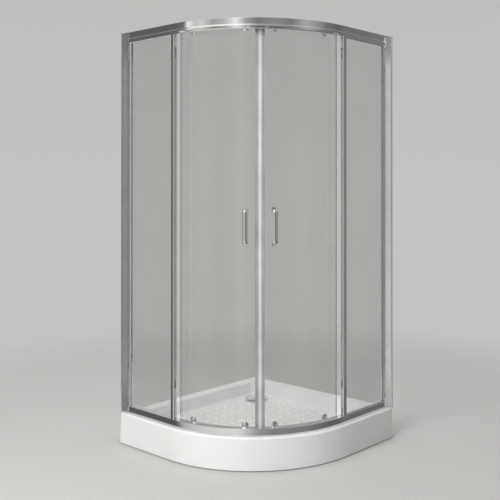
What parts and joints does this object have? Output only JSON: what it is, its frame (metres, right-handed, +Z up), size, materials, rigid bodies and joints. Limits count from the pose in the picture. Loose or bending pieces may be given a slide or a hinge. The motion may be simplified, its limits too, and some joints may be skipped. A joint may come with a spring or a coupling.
{
  "type": "corner shower enclosure",
  "caption": "Quadrant corner shower enclosure: white tray, bright frame, fixed glass panels and curved sliding doors on rollers.",
  "frame": {"origin": "on the floor, under the middle of the tray's square outline", "axes": "+Z up; the walls are the planes x = -0.45 and y = +0.45, so the room's corner is at -X +Y and the curved doorway faces +X -Y"},
  "size_m": [0.9, 0.9, 1.9],
  "materials": {
    "acrylic": "gloss white sanitary acrylic",
    "board": "raw chipboard",
    "zinc_steel": "zinc plated",
    "black_plastic": "moulded black",
    "rubber": "soft black",
    "chrome": "polished chrome",
    "profile": "bright polished",
    "glass": "clear toughened",
    "clear_seal": "translucent whitish",
    "magnet": "flexible magnet strip",
    "white_plastic": "moulded white",
    "nylon": "nylon"
  },
  "bodies": {
    "frame": {"tray_shell": "acrylic", "tray_baseboard": "board", "support_bars": "zinc_steel", "levelling_studs": "zinc_steel", "stud_nuts": "zinc_steel", "foot_pads": "black_plastic", "waste_gaskets": "rubber", "waste_flange": "chrome", "trap_body": "white_plastic", "trap_insert": "white_plastic", "wall_channel_left": "profile", "wall_channel_right": "profile", "side_stile_left": "profile", "side_stile_right": "profile", "top_rail": "profile", "bottom_rail": "profile", "post_left": "profile", "post_right": "profile", "fixed_glass_left": "glass", "fixed_glass_right": "glass", "glazing_seal_left": "clear_seal", "glazing_seal_right": "clear_seal", "post_seals": "clear_seal", "infill_strips": "profile", "frame_plugs": "black_plastic", "adjusting_screws": "zinc_steel", "screw_caps": "chrome", "channel_caps": "chrome", "door_stops": "rubber"},
    "waste_cover": {"waste_cover": "chrome"},
    "door_left": {"door_glass_left": "glass", "magnet_seal_left": "clear_seal", "magnet_strip_left": "magnet", "trailing_seal_left": "clear_seal", "handle_left": "chrome", "handle_fixings_left": "chrome", "roller_brackets_left": "chrome", "hub_bolts_left": "chrome", "hub_nuts_left": "chrome", "hub_washers_left": "rubber", "wheel_axles_left": "zinc_steel"},
    "top_outer_wheel_left": {"top_outer_wheel_left": "nylon"},
    "top_inner_wheel_left": {"top_inner_wheel_left": "nylon"},
    "bottom_outer_wheel_left": {"bottom_outer_wheel_left": "nylon"},
    "bottom_inner_wheel_left": {"bottom_inner_wheel_left": "nylon"},
    "door_right": {"door_glass_right": "glass", "magnet_seal_right": "clear_seal", "magnet_strip_right": "magnet", "trailing_seal_right": "clear_seal", "handle_right": "chrome", "handle_fixings_right": "chrome", "roller_brackets_right": "chrome", "hub_bolts_right": "chrome", "hub_nuts_right": "chrome", "hub_washers_right": "rubber", "wheel_axles_right": "zinc_steel"},
    "top_outer_wheel_right": {"top_outer_wheel_right": "nylon"},
    "top_inner_wheel_right": {"top_inner_wheel_right": "nylon"},
    "bottom_outer_wheel_right": {"bottom_outer_wheel_right": "nylon"},
    "bottom_inner_wheel_right": {"bottom_inner_wheel_right": "nylon"}
  },
  "joints": [
    {"name": "waste_cover_lift", "type": "slide", "parent": "frame", "child": "waste_cover", "axis": [0, 0, 1], "range_m": [0, 0.06]},
    {"name": "door_left_slide", "type": "hinge", "parent": "frame", "child": "door_left", "pos_m": [-0.132, 0.163, 1], "axis": [0, 0, 1], "range_deg": [-22, 0]},
    {"name": "top_outer_wheel_left_spin", "type": "hinge", "parent": "door_left", "child": "top_outer_wheel_left", "pos_m": [-0.03041, -0.39513, 1.8829], "axis": [0.1392, -0.9903, 0], "continuous": true},
    {"name": "top_inner_wheel_left_spin", "type": "hinge", "parent": "door_left", "child": "top_inner_wheel_left", "pos_m": [0.20369, -0.29721, 1.8829], "axis": [0.6074, -0.7944, 0], "continuous": true},
    {"name": "bottom_outer_wheel_left_spin", "type": "hinge", "parent": "door_left", "child": "bottom_outer_wheel_left", "pos_m": [-0.03041, -0.39513, 0.1536], "axis": [0.1392, -0.9903, 0], "continuous": true},
    {"name": "bottom_inner_wheel_left_spin", "type": "hinge", "parent": "door_left", "child": "bottom_inner_wheel_left", "pos_m": [0.20369, -0.29721, 0.1536], "axis": [0.6074, -0.7944, 0], "continuous": true},
    {"name": "door_right_slide", "type": "hinge", "parent": "frame", "child": "door_right", "pos_m": [-0.163, 0.132, 1], "axis": [0, 0, 1], "range_deg": [0, 22]},
    {"name": "top_outer_wheel_right_spin", "type": "hinge", "parent": "door_right", "child": "top_outer_wheel_right", "pos_m": [0.39513, 0.03041, 1.8829], "axis": [0.9903, -0.1392, 0], "continuous": true},
    {"name": "top_inner_wheel_right_spin", "type": "hinge", "parent": "door_right", "child": "top_inner_wheel_right", "pos_m": [0.29721, -0.20369, 1.8829], "axis": [0.7944, -0.6074, 0], "continuous": true},
    {"name": "bottom_outer_wheel_right_spin", "type": "hinge", "parent": "door_right", "child": "bottom_outer_wheel_right", "pos_m": [0.39513, 0.03041, 0.1536], "axis": [0.9903, -0.1392, 0], "continuous": true},
    {"name": "bottom_inner_wheel_right_spin", "type": "hinge", "parent": "door_right", "child": "bottom_inner_wheel_right", "pos_m": [0.29721, -0.20369, 0.1536], "axis": [0.7944, -0.6074, 0], "continuous": true}
  ],
  "couplings": [
    {"joint": "top_outer_wheel_left_spin", "follows": "door_left_slide", "ratio": -51.531},
    {"joint": "top_inner_wheel_left_spin", "follows": "door_left_slide", "ratio": -51.771},
    {"joint": "bottom_outer_wheel_left_spin", "follows": "door_left_slide", "ratio": -72.672},
    {"joint": "bottom_inner_wheel_left_spin", "follows": "door_left_slide", "ratio": -73.011},
    {"joint": "top_outer_wheel_right_spin", "follows": "door_right_slide", "ratio": -51.531},
    {"joint": "top_inner_wheel_right_spin", "follows": "door_right_slide", "ratio": -51.771},
    {"joint": "bottom_outer_wheel_right_spin", "follows": "door_right_slide", "ratio": -72.672},
    {"joint": "bottom_inner_wheel_right_spin", "follows": "door_right_slide", "ratio": -73.011}
  ]
}
